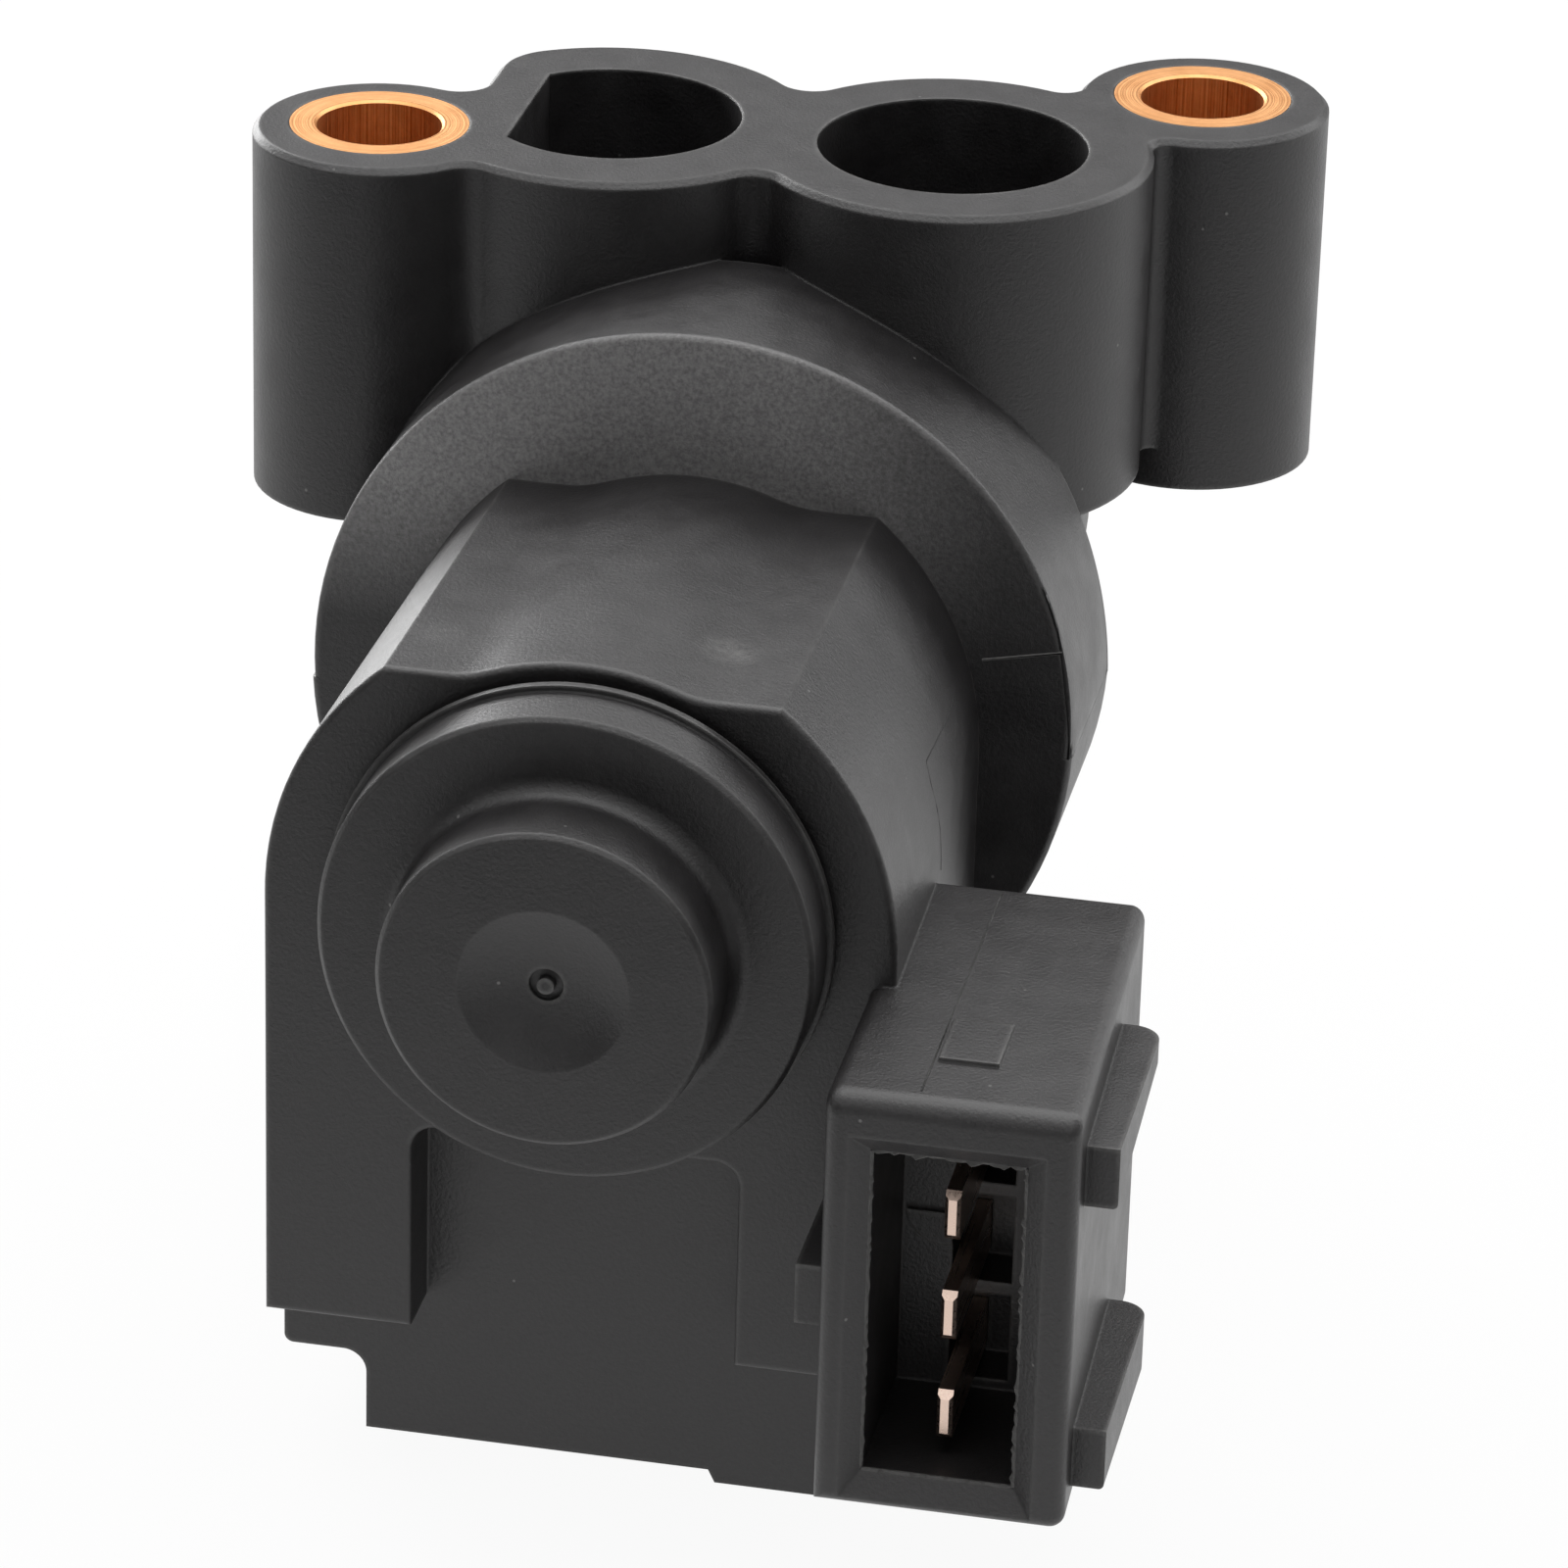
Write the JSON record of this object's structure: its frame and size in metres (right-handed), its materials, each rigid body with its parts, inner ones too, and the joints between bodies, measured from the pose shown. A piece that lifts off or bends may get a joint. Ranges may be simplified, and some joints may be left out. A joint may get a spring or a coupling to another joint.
{
  "type": "idle air control valve",
  "caption": "Idle air control valve: moulded flange with a round and a D-shaped port, drum motor body and side connector; a rotary slide on the motor's shaft meters the air.",
  "frame": {"origin": "on the sealing face, straight above the shaft", "axes": "+Z is the outward normal of the sealing face; +Y runs along the shaft, from the motor's cap to the slide chamber; +X is the connector's side"},
  "size_m": [0.0585, 0.0777, 0.0613],
  "materials": {
    "housing_plastic": "satin black, glass-filled moulding",
    "slide_plastic": "smooth dark moulding",
    "bobbin_plastic": "natural nylon",
    "limiter_brass": "turned and brushed",
    "terminal_metal": "bright copper alloy",
    "winding_wire": "enamelled copper wire",
    "bush_bronze": "sintered bronze",
    "steel": "ground steel",
    "lamination": "stacked sheet iron",
    "magnet_ferrite": "ferrite",
    "seal_rubber": "matte rubber"
  },
  "bodies": {
    "housing": {"valve_body": "housing_plastic", "motor_housing": "housing_plastic", "front_cap": "housing_plastic", "rear_cover": "housing_plastic", "compression_limiter_left": "limiter_brass", "compression_limiter_right": "limiter_brass", "terminal_upper": "terminal_metal", "terminal_middle": "terminal_metal", "terminal_lower": "terminal_metal", "front_bush": "bush_bronze", "rear_bush": "bush_bronze", "stator_leg_left": "lamination", "stator_leg_right": "lamination", "coil_core": "lamination", "coil_bobbin": "bobbin_plastic", "winding_left": "winding_wire", "winding_right": "winding_wire", "spigot_o_ring": "seal_rubber"},
    "rotor": {"rotor_shaft": "steel", "rotor_hub": "steel", "rotor_magnet": "magnet_ferrite", "rotary_slide": "slide_plastic", "slide_clip": "steel", "front_thrust_washer": "steel", "rear_thrust_washer": "steel"}
  },
  "joints": [
    {"name": "slide_swing", "type": "hinge", "parent": "housing", "child": "rotor", "pos_m": [0, 0, -0.0262], "axis": [0, -1, 0], "range_deg": [-25, 50], "stiffness_Nm_per_rad": 0.02}
  ]
}
